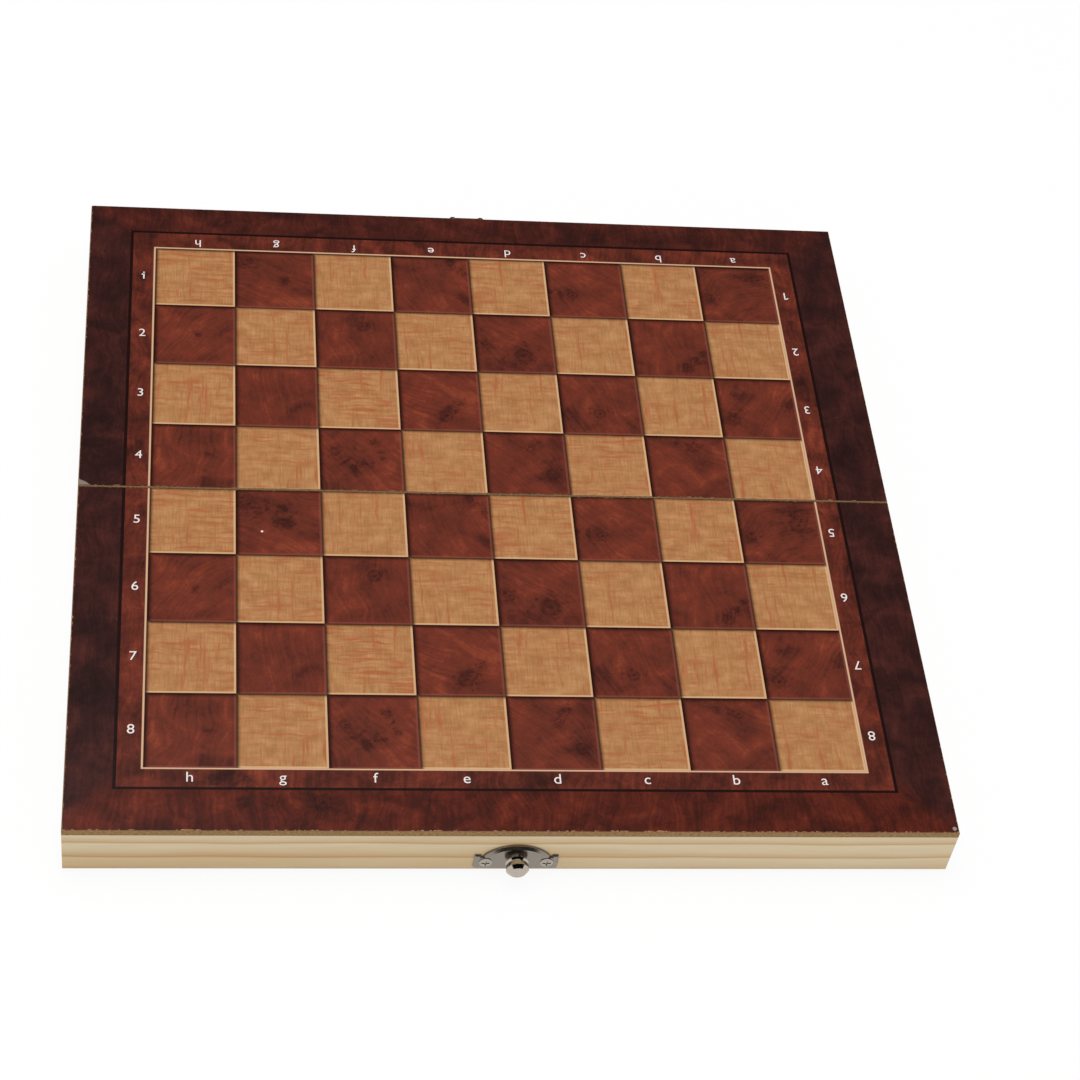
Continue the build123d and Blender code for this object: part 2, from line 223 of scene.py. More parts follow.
def sheet_tree():
    """A slab of Size centred on Middle, whose points know the way to the nearest knot."""
    tree = bpy.data.node_groups.new("printed_sheet", "GeometryNodeTree")
    socket_in(tree, "Size", "NodeSocketVector")
    socket_in(tree, "Middle", "NodeSocketVector")
    socket_in(tree, "Knots", "NodeSocketObject")
    socket_in(tree, "Finish", "NodeSocketMaterial")
    socket_in(tree, "Columns", "NodeSocketInt")
    socket_in(tree, "Rows", "NodeSocketInt")
    tree.interface.new_socket(name="Geometry", in_out="OUTPUT", socket_type="NodeSocketGeometry")
    given = tree.nodes.new("NodeGroupInput").outputs
    slab = add(tree, "GeometryNodeMeshCube", {
        "Size": given["Size"], "Vertices X": given["Columns"], "Vertices Y": given["Rows"],
        "Vertices Z": 2})
    slab = add(tree, "GeometryNodeSetPosition", {"Geometry": slab, "Offset": given["Middle"]})
    cloud = add(tree, "GeometryNodeObjectInfo", {"Object": given["Knots"]}, out="Geometry")
    place = add(tree, "GeometryNodeInputPosition")
    nearest = add(tree, "GeometryNodeSampleNearest", {"Geometry": cloud, "Sample Position": place},
                  domain="POINT")
    knot_place = add(tree, "GeometryNodeSampleIndex", {
        "Geometry": cloud, "Value": place, "Index": nearest}, data_type="FLOAT_VECTOR", domain="POINT")
    reach = add(tree, "GeometryNodeInputNamedAttribute", {"Name": "knot_reach"}, data_type="FLOAT")
    knot_reach = add(tree, "GeometryNodeSampleIndex", {
        "Geometry": cloud, "Value": reach, "Index": nearest}, data_type="FLOAT", domain="POINT")
    away = add(tree, "ShaderNodeVectorMath", {0: place, 1: knot_place}, operation="SUBTRACT")
    # The height between the sheet and the cloud doesn't count, so the way is laid flat.
    away = add(tree, "ShaderNodeVectorMath", {0: away, 1: (1.0, 1.0, 0.0)}, operation="MULTIPLY")
    slab = add(tree, "GeometryNodeStoreNamedAttribute", {
        "Geometry": slab, "Name": "knot_way", "Value": away}, data_type="FLOAT_VECTOR", domain="POINT")
    slab = add(tree, "GeometryNodeStoreNamedAttribute", {
        "Geometry": slab, "Name": "knot_reach", "Value": knot_reach}, data_type="FLOAT", domain="POINT")
    distance = add(tree, "ShaderNodeVectorMath", {0: away}, out="Value", operation="LENGTH")
    slab = add(tree, "GeometryNodeStoreNamedAttribute", {
        "Geometry": slab, "Name": "knot_distance", "Value": distance}, data_type="FLOAT", domain="POINT")
    slab = add(tree, "GeometryNodeRealizeInstances", {"Geometry": slab})
    slab = add(tree, "GeometryNodeSetMaterial", {"Geometry": slab, "Material": given["Finish"]})
    output = tree.nodes.new("NodeGroupOutput")
    tree.links.new(slab, output.inputs[0])
    return tree


def grown(name, tree, values):
    """Run a tree once with these input values and keep the result as a plain mesh object."""
    seed = linked(name + "_seed", bpy.data.meshes.new(name + "_seed"))
    modifier = seed.modifiers.new("tree", "NODES")
    modifier.node_group = tree
    for item in tree.interface.items_tree:
        if item.in_out == "INPUT" and item.name in values:
            modifier[item.identifier] = values[item.name]
    depsgraph = bpy.context.evaluated_depsgraph_get()
    depsgraph.update()
    mesh = bpy.data.meshes.new_from_object(seed.evaluated_get(depsgraph), depsgraph=depsgraph)
    bpy.data.objects.remove(seed)
    mesh.name = name
    return linked(name, mesh)


sheet_rule = sheet_tree()
print("the sheet's tree has", len(sheet_rule.nodes), "nodes")

# %% [markdown]
# ## The print's finish: lacquered paper printed with two woods
# A real sheet is a picture of burr and ripple sycamore, printed on paper and lacquered, so one material
# draws all of it. The tree first works out where a point is: in which square, how far from its edges,
# or how far outside the squares. Then it draws two wood figures, and last it picks one for each zone.
# Every scale comes from a size on the real print, in millimetres.

# %% Patterns that the wood figures use
def wood_noise(tree, place, per_mm, detail, roughness=0.55, distortion=0.0, out=0):
    """Noise with so many lumps to the millimetre along each axis: few along the grain, many across it."""
    squeezed = add(tree, "ShaderNodeVectorMath", {0: place, 1: per_mm}, operation="MULTIPLY")
    return add(tree, "ShaderNodeTexNoise", {
        "Vector": squeezed, "Scale": 1.0, "Detail": detail, "Roughness": roughness,
        "Distortion": distortion}, out=out)


def bent(tree, place, lump, reach):
    """Push a place about by soft noise, so that straight grain wanders."""
    push = wood_noise(tree, place, (1 / lump, 1 / lump, 1 / lump), 1.0, out="Color")
    push = add(tree, "ShaderNodeVectorMath", {0: push, 1: (0.5, 0.5, 0.5)}, operation="SUBTRACT")
    return add(tree, "ShaderNodeVectorMath", {0: push, 1: (2.0 * reach, 2.0 * reach, 0.0), 2: place},
               operation="MULTIPLY_ADD")


def painted(tree, below, mask, text, amount=1.0):
    """Lay a hex colour over another where the mask is 1, as strongly as amount says."""
    share = add(tree, "ShaderNodeMath", {0: mask, 1: amount}, operation="MULTIPLY")
    return add(tree, "ShaderNodeMix", {"Factor": share, 6: below, 7: hex_colour(text)}, out=2,
               data_type="RGBA")


print_finish, print_tree, print_surface = new_finish("printed_paper_satin_lacquer")
print("a new finish starts with", len(print_tree.nodes), "nodes")


# %% Print finish: where a point is on the board
def board_places(tree):
    """Sockets that say where a point lies: millimetres, square, place in the square, way outside."""
    metres = add(tree, "ShaderNodeTexCoord", out="Object")
    point = add(tree, "ShaderNodeVectorMath", {0: metres, "Scale": 1 / MM}, operation="SCALE")
    split = add(tree, "ShaderNodeSeparateXYZ", {0: point}, out=None)
    x, y = split.outputs[0], split.outputs[1]
    column = add(tree, "ShaderNodeMapRange", {
        "Value": x, "From Min": squares_left, "From Max": squares_right, "To Max": 8.0}, clamp=False)
    far_row = add(tree, "ShaderNodeMapRange", {
        "Value": y, "From Min": squares_back, "From Max": 0.0, "To Max": 4.0})
    near_row = add(tree, "ShaderNodeMapRange", {
        "Value": y, "From Min": 0.0, "From Max": squares_front, "To Max": 4.0})
    row = add(tree, "ShaderNodeMath", {0: far_row, 1: near_row}, operation="ADD")
    column_index = add(tree, "ShaderNodeMath", {0: column}, operation="FLOOR")
    row_index = add(tree, "ShaderNodeMath", {0: row}, operation="FLOOR")
    across = add(tree, "ShaderNodeMath", {0: column, 1: column_index}, operation="SUBTRACT")
    across = add(tree, "ShaderNodeMath", {0: across, 1: square_width}, operation="MULTIPLY")
    down = add(tree, "ShaderNodeMath", {0: row, 1: row_index}, operation="SUBTRACT")
    down = add(tree, "ShaderNodeMath", {0: down, 1: far_square_depth}, operation="MULTIPLY")
    both = add(tree, "ShaderNodeMath", {0: column_index, 1: row_index}, operation="ADD")
    dark = add(tree, "ShaderNodeMath", {0: both, 1: 2.0}, operation="FLOORED_MODULO")
    repeat = add(tree, "ShaderNodeMath", {0: row_index, 1: 4.0}, operation="FLOORED_MODULO")
    past_left = add(tree, "ShaderNodeMath", {0: squares_left, 1: x}, operation="SUBTRACT")
    past_right = add(tree, "ShaderNodeMath", {0: x, 1: squares_right}, operation="SUBTRACT")
    side = add(tree, "ShaderNodeMath", {0: past_left, 1: past_right}, operation="MAXIMUM")
    past_back = add(tree, "ShaderNodeMath", {0: y, 1: squares_back}, operation="SUBTRACT")
    past_front = add(tree, "ShaderNodeMath", {0: squares_front, 1: y}, operation="SUBTRACT")
    # The front strip is the narrowest, so the distance is stretched there to the other strips' width.
    past_front = add(tree, "ShaderNodeMath", {0: past_front, 1: strip_width / front_strip_width},
                     operation="MULTIPLY")
    end = add(tree, "ShaderNodeMath", {0: past_back, 1: past_front}, operation="MAXIMUM")
    return {
        "point": point, "x": x, "y": y, "across": across, "down": down, "dark": dark,
        "cell": add(tree, "ShaderNodeCombineXYZ", {0: column_index, 1: repeat}),
        "tile": add(tree, "ShaderNodeCombineXYZ", {0: across, 1: down}),
        "side": side, "end": end,
        "outside": add(tree, "ShaderNodeMath", {0: side, 1: end}, operation="MAXIMUM")}


board_place = board_places(print_tree)
print("finding the place takes", len(print_tree.nodes), "nodes")

# %% [markdown]
# ## Ripple sycamore for the light squares
# This wood is pale, with waves of darker colour across its grain and fine straight lines along it. Each
# is noise stretched one way. Every square takes its figure from another part of the wood.

# %% Print finish: ripple sycamore
def ripple_wood(tree, place):
    """The light squares: pale wood with wavy orange streaks across it and thin lines along it."""
    chance = add(tree, "ShaderNodeTexWhiteNoise", {"Vector": place["cell"]}, out=None,
                 noise_dimensions="2D")
    shift = add(tree, "ShaderNodeVectorMath", {0: chance.outputs["Color"], "Scale": 700.0},
                operation="SCALE")
    grain = add(tree, "ShaderNodeVectorMath", {0: place["tile"], 1: shift}, operation="ADD")
    wavy = bent(tree, bent(tree, grain, 8.0, 1.0), 2.0, 0.35)
    streak = wood_noise(tree, wavy, (0.07, 0.7, 0.0), 3.0, 0.6)
    streak = add(tree, "ShaderNodeMapRange", {"Value": streak, "From Min": 0.45, "From Max": 0.64})
    patch = wood_noise(tree, grain, (0.05, 0.06, 0.0), 1.0)
    patch = add(tree, "ShaderNodeMapRange", {
        "Value": patch, "From Min": 0.32, "From Max": 0.55, "To Min": 0.15})
    streak = add(tree, "ShaderNodeMath", {0: streak, 1: patch}, operation="MULTIPLY")
    amount = add(tree, "ShaderNodeMapRange", {
        "Value": chance.outputs["Value"], "To Min": 0.4, "To Max": 0.85})
    streak = add(tree, "ShaderNodeMath", {0: streak, 1: amount}, operation="MULTIPLY")
    upright = wood_noise(tree, bent(tree, grain, 9.0, 0.7), (0.45, 0.03, 0.0), 3.0, 0.65)
    upright = add(tree, "ShaderNodeMapRange", {
        "Value": upright, "From Min": 0.55, "From Max": 0.66, "To Max": 0.7})
    streak = add(tree, "ShaderNodeMath", {0: streak, 1: upright}, operation="MAXIMUM")
    fine = wood_noise(tree, grain, (1.6, 0.12, 0.0), 3.0, 0.7)
    cloud = wood_noise(tree, grain, (0.16, 0.22, 0.0), 3.0, 0.6)
    tone = add(tree, "ShaderNodeMix", {"Factor": 0.55, 2: fine, 3: cloud}, data_type="FLOAT")
    base = add(tree, "ShaderNodeValToRGB", {"Fac": tone}, stops=[
        (0.36, "#9a6a42"), (0.50, "#a9794d"), (0.64, "#b7875b")])
    return painted(tree, base, streak, "#a15634")


light_wood = ripple_wood(print_tree, board_place)
print("with the light wood there are", len(print_tree.nodes), "nodes")

# %% [markdown]
# ## Burr wood for the dark squares, the strip and the border
# Burr wood has no straight grain: its lines flow round clusters of small dark knots. Halfway between two
# knots the stored way turns round from one grid point to the next. Blended over that cell it passes
# through nothing, which would draw a knot that isn't there. The stored distance stays right to within
# one grid step, so the rings take whichever of the two is larger.

# %% Print finish: burr wood
grid_step = 2.9 * MM


def knot_rings(tree, place):
    """A mask of the nearest knot's rings, pith and small eyes, and how much darker the wood near it is."""
    way = add(tree, "ShaderNodeAttribute", out="Vector", attribute_name="knot_way")
    reach = add(tree, "ShaderNodeAttribute", out="Fac", attribute_name="knot_reach")
    distance = add(tree, "ShaderNodeAttribute", out="Fac", attribute_name="knot_distance")
    way = add(tree, "ShaderNodeVectorMath", {0: way, 1: (1 / MM, 1 / MM, 0.0)}, operation="MULTIPLY")
    way = bent(tree, way, 2.0, 1.3)
    away = add(tree, "ShaderNodeVectorMath", {0: way}, out="Value", operation="LENGTH")
    at_least = add(tree, "ShaderNodeMath", {0: distance, 1: grid_step}, operation="SUBTRACT")
    at_least = add(tree, "ShaderNodeMath", {0: at_least, 1: MM}, operation="DIVIDE")
    away = add(tree, "ShaderNodeMath", {0: away, 1: at_least}, operation="MAXIMUM")
    reach = add(tree, "ShaderNodeMath", {0: reach, 1: MM}, operation="DIVIDE")
    away = add(tree, "ShaderNodeMath", {0: away, 1: reach}, operation="DIVIDE")
    ring = add(tree, "ShaderNodeMath", {0: away, 1: 0.72}, operation="SUBTRACT")
    ring = add(tree, "ShaderNodeMath", {0: ring}, operation="ABSOLUTE")
    ring = add(tree, "ShaderNodeMapRange", {
        "Value": ring, "From Min": 0.28, "From Max": 0.04, "To Max": 0.6})
    pith = add(tree, "ShaderNodeMapRange", {"Value": away, "From Min": 0.3, "From Max": 0.12})
    stain = add(tree, "ShaderNodeMapRange", {
        "Value": away, "From Min": 0.95, "From Max": 0.7, "To Max": 0.3})
    drawn = add(tree, "ShaderNodeMath", {0: ring, 1: pith}, operation="MAXIMUM")
    drawn = add(tree, "ShaderNodeMath", {0: drawn, 1: stain}, operation="MAXIMUM")
    grit = wood_noise(tree, place["point"], (0.9, 0.9, 0.9), 3.0, 0.7)
    grit = add(tree, "ShaderNodeMapRange", {
        "Value": grit, "From Min": 0.38, "From Max": 0.58, "To Min": 0.2})
    drawn = add(tree, "ShaderNodeMath", {0: drawn, 1: grit}, operation="MULTIPLY")
    flat = add(tree, "ShaderNodeVectorMath", {0: place["point"], 1: (1.0, 1.0, 0.0)},
               operation="MULTIPLY")
    eye = add(tree, "ShaderNodeTexVoronoi", {"Vector": flat, "Scale": 0.42})
    rim = add(tree, "ShaderNodeMath", {0: eye, 1: 0.34}, operation="SUBTRACT")
    rim = add(tree, "ShaderNodeMath", {0: rim}, operation="ABSOLUTE")
    rim = add(tree, "ShaderNodeMapRange", {
        "Value": rim, "From Min": 0.09, "From Max": 0.02, "To Max": 0.4})
    eye = add(tree, "ShaderNodeMapRange", {"Value": eye, "From Min": 0.2, "From Max": 0.1})
    eyes = add(tree, "ShaderNodeMath", {0: eye, 1: rim}, operation="MAXIMUM")
    close_by = add(tree, "ShaderNodeMapRange", {
        "Value": away, "From Min": 2.2, "From Max": 1.3, "To Max": 0.85})
    eyes = add(tree, "ShaderNodeMath", {0: eyes, 1: close_by}, operation="MULTIPLY")
    drawn = add(tree, "ShaderNodeMath", {0: drawn, 1: eyes}, operation="MAXIMUM")
    shade = add(tree, "ShaderNodeMapRange", {
        "Value": away, "From Min": 2.4, "From Max": 0.6, "To Max": 0.2})
    return drawn, shade


def burr_figure(tree, place):
    """The dark wood as one number from 0 (darkest) to 1, and a mask of its knots."""
    chance = add(tree, "ShaderNodeTexWhiteNoise", {"Vector": place["cell"]}, out=None,
                 noise_dimensions="2D")
    shift = add(tree, "ShaderNodeVectorMath", {0: chance.outputs["Color"], "Scale": 500.0},
                operation="SCALE")
    own = add(tree, "ShaderNodeVectorMath", {0: place["tile"], 1: shift}, operation="ADD")
    tilt = add(tree, "ShaderNodeMapRange", {
        "Value": chance.outputs["Value"], "To Min": -1.2, "To Max": 1.2})
    own = add(tree, "ShaderNodeVectorRotate", {"Vector": own, "Angle": tilt}, rotation_type="Z_AXIS")
    inside = add(tree, "ShaderNodeMath", {0: place["outside"], 1: 0.0}, operation="LESS_THAN")
    grain = add(tree, "ShaderNodeMix", {"Factor": inside, 4: place["point"], 5: own}, out=1,
                data_type="VECTOR")
    flow = bent(tree, bent(tree, grain, 26.0, 8.0), 6.0, 1.0)
    lines = wood_noise(tree, flow, (0.8, 0.045, 0.0), 4.0, 0.65)
    mottle = wood_noise(tree, grain, (0.5, 0.5, 0.5), 5.0, 0.7, 1.2)
    cloud = wood_noise(tree, grain, (0.085, 0.085, 0.085), 2.0, 0.5, 0.6)
    figure = add(tree, "ShaderNodeMix", {"Factor": 0.45, 2: lines, 3: mottle}, data_type="FLOAT")
    figure = add(tree, "ShaderNodeMix", {"Factor": 0.45, 2: figure, 3: cloud}, data_type="FLOAT")
    figure = add(tree, "ShaderNodeMapRange", {"Value": figure, "From Min": 0.36, "From Max": 0.64})
    drawn, shade = knot_rings(tree, place)
    figure = add(tree, "ShaderNodeMath", {0: figure, 1: shade}, operation="SUBTRACT", use_clamp=True)
    return figure, drawn


burr, drawn_knots = burr_figure(print_tree, board_place)
print("with the burr wood there are", len(print_tree.nodes), "nodes")

# %% [markdown]
# ## Bevels that are only printed
# Each square is drawn as a raised tile. Its left and top edges fade to black and its right edge and foot
# carry a thin light line, so the eye sees a bevel where the paper is flat.

# %% Print finish: the squares
def band(tree, value, low, high):
    """1 between two limits and 0 outside them, with a 0.1 mm soft edge."""
    soft = 0.1
    past_low = add(tree, "ShaderNodeMapRange", {
        "Value": value, "From Min": low - soft, "From Max": low + soft})
    below_high = add(tree, "ShaderNodeMapRange", {
        "Value": value, "From Min": high + soft, "From Max": high - soft})
    return add(tree, "ShaderNodeMath", {0: past_low, 1: below_high}, operation="MULTIPLY")


def square_colour(tree, place, light, figure, drawn):
    """The squares in their two woods, each with its drawn bevel."""
    dark = add(tree, "ShaderNodeValToRGB", {"Fac": figure}, stops=[
        (0.0, "#462019"), (0.35, "#5e2a1f"), (0.7, "#6e3022"), (1.0, "#833d28")])
    dark = painted(tree, dark, drawn, "#2b1310")
    right = band(tree, place["across"], square_width - lit_edge, square_width + 1.0)
    foot = band(tree, place["down"], far_square_depth - lit_edge, far_square_depth + 1.0)
    lit = add(tree, "ShaderNodeMath", {0: right, 1: foot}, operation="MAXIMUM")
    light = painted(tree, light, lit, "#d4ae84", 0.7)
    dark = painted(tree, dark, lit, "#80443c", 0.5)
    squares = add(tree, "ShaderNodeMix", {"Factor": place["dark"], 6: light, 7: dark}, out=2,
                  data_type="RGBA")
    edge = add(tree, "ShaderNodeMath", {0: place["across"], 1: place["down"]}, operation="MINIMUM")
    narrower = add(tree, "ShaderNodeMapRange", {"Value": place["dark"], "To Min": 1.3, "To Max": 1.0})
    edge = add(tree, "ShaderNodeMath", {0: edge, 1: narrower}, operation="MULTIPLY")
    soft = add(tree, "ShaderNodeMapRange", {"Value": edge, "From Min": shaded_edge, "From Max": 0.6})
    soft = add(tree, "ShaderNodeMath", {0: soft, 1: 1.8}, operation="POWER")
    return painted(tree, squares, soft, "#1a0a06", 0.86)


squares_print = square_colour(print_tree, board_place, light_wood, burr, drawn_knots)
print("with the squares there are", len(print_tree.nodes), "nodes")

# %% [markdown]
# ## Frame line, strip and mitred border
# A pale line frames the squares, then come the strip for the coordinates, a dark groove and the border.
# The border is printed as four boards mitred at the corners, the side ones cooler than the other two,
# and what tells them apart is whether a point lies further out to the side or to the end.

# %% Print finish: everything round the squares
def surround_colour(tree, place, figure, drawn):
    """Outside the squares: frame line, strip, groove and the mitred border."""
    strip = add(tree, "ShaderNodeValToRGB", {"Fac": figure}, stops=[
        (0.0, "#371a15"), (0.4, "#52241b"), (0.75, "#6b2e21"), (1.0, "#813b27")])
    cool = add(tree, "ShaderNodeValToRGB", {"Fac": figure}, stops=[
        (0.0, "#261514"), (0.4, "#331a18"), (0.75, "#42201c"), (1.0, "#4e2520")])
    warm = add(tree, "ShaderNodeValToRGB", {"Fac": figure}, stops=[
        (0.0, "#2f1611"), (0.4, "#471c14"), (0.75, "#5c2418"), (1.0, "#6e2d1c")])
    mitre = add(tree, "ShaderNodeMath", {0: place["end"], 1: place["side"]}, operation="SUBTRACT")
    mitre = add(tree, "ShaderNodeMapRange", {"Value": mitre, "From Min": -9.0, "From Max": 3.0})
    warmth = add(tree, "ShaderNodeMapRange", {
        "Value": place["y"], "From Min": squares_back, "From Max": squares_front, "To Min": 0.45})
    warmth = add(tree, "ShaderNodeMath", {0: mitre, 1: warmth}, operation="MULTIPLY")
    border = add(tree, "ShaderNodeMix", {"Factor": warmth, 6: cool, 7: warm}, out=2, data_type="RGBA")
    in_strip = add(tree, "ShaderNodeMapRange", {
        "Value": place["outside"], "From Min": strip_width + 0.1, "From Max": strip_width - 0.1})
    around = add(tree, "ShaderNodeMix", {"Factor": in_strip, 6: border, 7: strip}, out=2,
                 data_type="RGBA")
    around = painted(tree, around, drawn, "#241312")
    groove = band(tree, place["outside"], strip_width, strip_width + groove_width)
    around = painted(tree, around, groove, "#1e0e0c")
    line = band(tree, place["outside"], 0.0, frame_line)
    return painted(tree, around, line, "#cba583")


surround_print = surround_colour(print_tree, board_place, burr, drawn_knots)
print("with the border there are", len(print_tree.nodes), "nodes")

# %% [markdown]
# ## Wear, then lacquer over it all
# The sheet's edges are chipped to the brown board, a larger flake is gone at the left end of the fold,
# and one square has a white speck. A chip is where ragged noise reaches further in than the distance
# to the edge. The lacquer is satin, with the faint orange peel of a sprayed coat.

# %% Print finish: wear along the edges
def worn_away(tree, place):
    """Masks of the damage: chipped edges, a larger flake at the fold's left end, and one white speck."""
    away_x = add(tree, "ShaderNodeMath", {0: place["x"]}, operation="ABSOLUTE")
    away_x = add(tree, "ShaderNodeMath", {0: sheet_reach, 1: away_x}, operation="SUBTRACT")
    from_fold = add(tree, "ShaderNodeMath", {0: place["y"]}, operation="ABSOLUTE")
    away_y = add(tree, "ShaderNodeMath", {0: sheet_reach, 1: from_fold}, operation="SUBTRACT")
    from_fold = add(tree, "ShaderNodeMath", {0: from_fold, 1: fold_inset}, operation="SUBTRACT")
    from_fold = add(tree, "ShaderNodeMath", {0: from_fold, 1: 2.0}, operation="MULTIPLY")
    edge = add(tree, "ShaderNodeMath", {0: away_x, 1: away_y}, operation="MINIMUM")
    edge = add(tree, "ShaderNodeMath", {0: edge, 1: from_fold}, operation="MINIMUM")
    ragged = wood_noise(tree, place["point"], (0.5, 0.5, 0.0), 4.0, 0.75)
    limit = add(tree, "ShaderNodeMapRange", {
        "Value": ragged, "From Min": 0.52, "From Max": 0.82, "To Max": 0.8})
    chips = add(tree, "ShaderNodeMath", {0: limit, 1: edge}, operation="SUBTRACT")
    chips = add(tree, "ShaderNodeMapRange", {"Value": chips, "From Max": 0.12})
    flake = add(tree, "ShaderNodeMath", {0: away_x, 1: 0.7, 2: place["y"]}, operation="MULTIPLY_ADD")
    flake = add(tree, "ShaderNodeMath", {0: ragged, 1: 1.6, 2: flake}, operation="MULTIPLY_ADD")
    flake = add(tree, "ShaderNodeMapRange", {"Value": flake, "From Min": 4.3, "From Max": 4.0})
    on_left = add(tree, "ShaderNodeMath", {0: place["x"], 1: 0.0}, operation="LESS_THAN")
    on_far = add(tree, "ShaderNodeMath", {0: place["y"], 1: 0.0}, operation="GREATER_THAN")
    flake = add(tree, "ShaderNodeMath", {0: flake, 1: on_left}, operation="MULTIPLY")
    flake = add(tree, "ShaderNodeMath", {0: flake, 1: on_far}, operation="MULTIPLY")
    speck_place = (*white_speck, print_top / MM)
    speck = add(tree, "ShaderNodeVectorMath", {0: place["point"], 1: speck_place}, out="Value",
                operation="DISTANCE")
    speck = add(tree, "ShaderNodeMapRange", {"Value": speck, "From Min": 0.5, "From Max": 0.3})
    return chips, flake, speck


chipped, flaked, specked = worn_away(print_tree, board_place)
print("with the wear there are", len(print_tree.nodes), "nodes")


# %% Print finish: the lacquer
def lacquered(tree, surface, place, colour):
    """Satin lacquer on paper: a soft sheen from a thin clear coat, slightly uneven like orange peel."""
    tree.links.new(colour, surface.inputs["Base Color"])
    peel = wood_noise(tree, place["point"], (0.5, 0.5, 0.5), 2.0)
    dullness = add(tree, "ShaderNodeMapRange", {"Value": peel, "To Min": 0.2, "To Max": 0.3})
    tree.links.new(dullness, surface.inputs["Roughness"])
    bump = add(tree, "ShaderNodeBump", {"Height": peel, "Strength": 0.2, "Distance": 0.02 * MM})
    tree.links.new(bump, surface.inputs["Normal"])
    surface.inputs["Specular IOR Level"].default_value = 0.18


inside_squares = add(print_tree, "ShaderNodeMapRange", {
    "Value": board_place["outside"], "From Min": 0.1, "From Max": -0.1})
whole_print = add(print_tree, "ShaderNodeMix", {
    "Factor": inside_squares, 6: surround_print, 7: squares_print}, out=2, data_type="RGBA")
whole_print = painted(print_tree, whole_print, chipped, "#a07c54")
whole_print = painted(print_tree, whole_print, flaked, "#82746c")
whole_print = painted(print_tree, whole_print, specked, "#f0e6e0")
lacquered(print_tree, print_surface, board_place, whole_print)
print("the whole finish of the print has", len(print_tree.nodes), "nodes")

# %% [markdown]
# ## The two printed sheets
# Each sheet takes the place of the plain one in the measured model, at the same size. It stays 0.02 mm
# lower, so that the coordinates can lie on it and still be inside the model's box.

# %% Make both printed sheets
letter_rise = 0.02 * MM


def printed_sheet(node, body, cloud):
    """One printed sheet, grown from the tree over its plain sheet."""
    low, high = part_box(node)
    high.z -= letter_rise
    size = high - low
    piece = grown(node + "_print", sheet_rule, {
        "Size": size, "Middle": (low + high) / 2, "Knots": cloud, "Finish": print_finish,
        "Columns": 2 + int(size.x / grid_step), "Rows": 2 + int(size.y / grid_step)})
    bpy.data.objects.remove(cloud)
    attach(piece, body)
    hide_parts(node)
    print(piece.name, "has", len(piece.data.polygons), "faces")


printed_sheet("far_playing_sheet", "far_half", far_cloud)
printed_sheet("near_playing_sheet", "near_half", near_cloud)

# %% [markdown]
# ## Pine for the rails
# Pine has pale, wide early wood and a narrow, darker line of late wood for each year. In a sawn board
# those rings are cut lengthways, which gives long, slightly waving lines on the faces and arcs on the
# ends. So the finish measures the distance from the tree's heart, a line far outside the rail, and
# turns it into rings.

# %% Pine finish
year_ring = 7.8
plank_shift = 371.0


def planed_pine(name, along, heart, seed):
    """Planed softwood under a thin clear coat: pale and satin, with the grain along one axis.

    heart is the place, across the grain and up, of the tree's middle."""
    finish, tree, surface = new_finish(name)
    metres = add(tree, "ShaderNodeTexCoord", out="Object")
    spin = (0.0, 0.0, 0.0) if along == "x" else (0.0, 0.0, math.radians(90))
    point = add(tree, "ShaderNodeVectorMath", {0: metres, "Scale": 1 / MM}, operation="SCALE")
    point = add(tree, "ShaderNodeMapping", {"Vector": point, "Rotation": spin})
    point = add(tree, "ShaderNodeVectorMath", {0: point, 1: (seed * plank_shift, *heart)},
                operation="SUBTRACT")
    wander = wood_noise(tree, point, (0.011, 0.03, 0.03), 2.0, out="Color")
    wander = add(tree, "ShaderNodeVectorMath", {0: wander, 1: (0.5, 0.5, 0.5)}, operation="SUBTRACT")
    ringed = add(tree, "ShaderNodeVectorMath", {0: wander, 1: (5.0, 5.0, 5.0), 2: point},
                 operation="MULTIPLY_ADD")
    ringed = add(tree, "ShaderNodeVectorMath", {0: ringed, 1: (0.0, 1.0, 1.0)}, operation="MULTIPLY")
    radius = add(tree, "ShaderNodeVectorMath", {0: ringed}, out="Value", operation="LENGTH")
    year = add(tree, "ShaderNodeMath", {0: radius, 1: year_ring}, operation="DIVIDE")
    year = add(tree, "ShaderNodeMath", {0: year}, operation="FRACT")
    wood = add(tree, "ShaderNodeValToRGB", {"Fac": year}, stops=[
        (0.0, "#cebd9d"), (0.55, "#cbb897"), (0.80, "#c4aa82"), (0.90, "#b8946a"), (0.97, "#ccba99")])
    slow = wood_noise(tree, point, (0.008, 0.08, 0.08), 1.0)
    slow = add(tree, "ShaderNodeMapRange", {"Value": slow, "From Min": 0.4, "From Max": 0.6})
    wood = add(tree, "ShaderNodeMix", {"Factor": slow, 6: wood, 7: hex_colour("#f4eadb")}, out=2,
               data_type="RGBA", blend_type="MULTIPLY")
    fibre = wood_noise(tree, point, (0.05, 1.5, 1.5), 3.0, 0.7)
    shade = add(tree, "ShaderNodeMapRange", {"Value": fibre, "To Min": 0.88, "To Max": 1.10})
    colour = add(tree, "ShaderNodeVectorMath", {0: wood, "Scale": shade}, operation="SCALE")
    tree.links.new(colour, surface.inputs["Base Color"])
    dullness = add(tree, "ShaderNodeMapRange", {"Value": fibre, "To Min": 0.5, "To Max": 0.68})
    tree.links.new(dullness, surface.inputs["Roughness"])
    bump = add(tree, "ShaderNodeBump", {"Height": fibre, "Strength": 0.35, "Distance": 0.05 * MM})
    tree.links.new(bump, surface.inputs["Normal"])
    surface.inputs["Specular IOR Level"].default_value = 0.3
    return finish


print("the pine's year rings are", year_ring, "mm wide")


# %% Put pine on the eight rails
def dress(node, finish):
    """Give a part of the measured model its finish."""
    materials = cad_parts[node].data.materials
    materials.clear()
    materials.append(finish)


